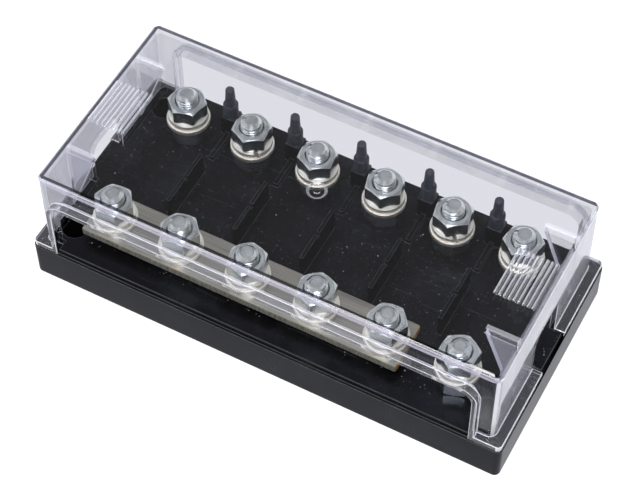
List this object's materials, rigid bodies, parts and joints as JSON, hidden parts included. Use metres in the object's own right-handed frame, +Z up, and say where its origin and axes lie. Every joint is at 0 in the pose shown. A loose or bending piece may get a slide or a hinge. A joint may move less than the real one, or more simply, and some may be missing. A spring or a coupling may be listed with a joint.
{
  "type": "fuse holder",
  "caption": "Long low fuse holder: black moulded base with two rows of threaded terminals, a flat busbar along the front row and a clear lift-off cover.",
  "frame": {"origin": "middle of the underside of the base", "axes": "+X along the row of ways, to the right in the picture; +Y to the back, away from the busbar; +Z up"},
  "size_m": [0.1826, 0.0864, 0.053],
  "materials": {
    "black_moulding": "moulded, fine texture outside, semi-gloss inside",
    "clear_moulding": "clear moulding, polished",
    "busbar_plating": "plated, brushed lengthwise",
    "zinc": "bright blue-white zinc",
    "washer_steel": "bright zinc, slightly yellow"
  },
  "bodies": {
    "holder": {"base": "black_moulding", "busbar": "busbar_plating", "way_1_bolts": "zinc", "way_1_lower_nuts": "zinc", "way_1_flat_washers": "washer_steel", "way_1_spring_washers": "washer_steel", "way_1_top_nuts": "zinc", "way_2_bolts": "zinc", "way_2_lower_nuts": "zinc", "way_2_flat_washers": "washer_steel", "way_2_spring_washers": "washer_steel", "way_2_top_nuts": "zinc", "way_3_bolts": "zinc", "way_3_lower_nuts": "zinc", "way_3_flat_washers": "washer_steel", "way_3_spring_washers": "washer_steel", "way_3_top_nuts": "zinc", "way_4_bolts": "zinc", "way_4_lower_nuts": "zinc", "way_4_flat_washers": "washer_steel", "way_4_spring_washers": "washer_steel", "way_4_top_nuts": "zinc", "way_5_bolts": "zinc", "way_5_lower_nuts": "zinc", "way_5_flat_washers": "washer_steel", "way_5_spring_washers": "washer_steel", "way_5_top_nuts": "zinc", "way_6_bolts": "zinc", "way_6_lower_nuts": "zinc", "way_6_flat_washers": "washer_steel", "way_6_spring_washers": "washer_steel", "way_6_top_nuts": "zinc", "way_1_thin_nut": "zinc", "way_2_thin_nut": "zinc", "way_3_thin_nut": "zinc", "way_4_thin_nut": "zinc", "way_5_thin_nut": "zinc"},
    "cover": {"cover": "clear_moulding"}
  },
  "joints": [
    {"name": "cover_lift", "type": "slide", "parent": "holder", "child": "cover", "axis": [0, 0, 1], "range_m": [0, 0.05]}
  ]
}
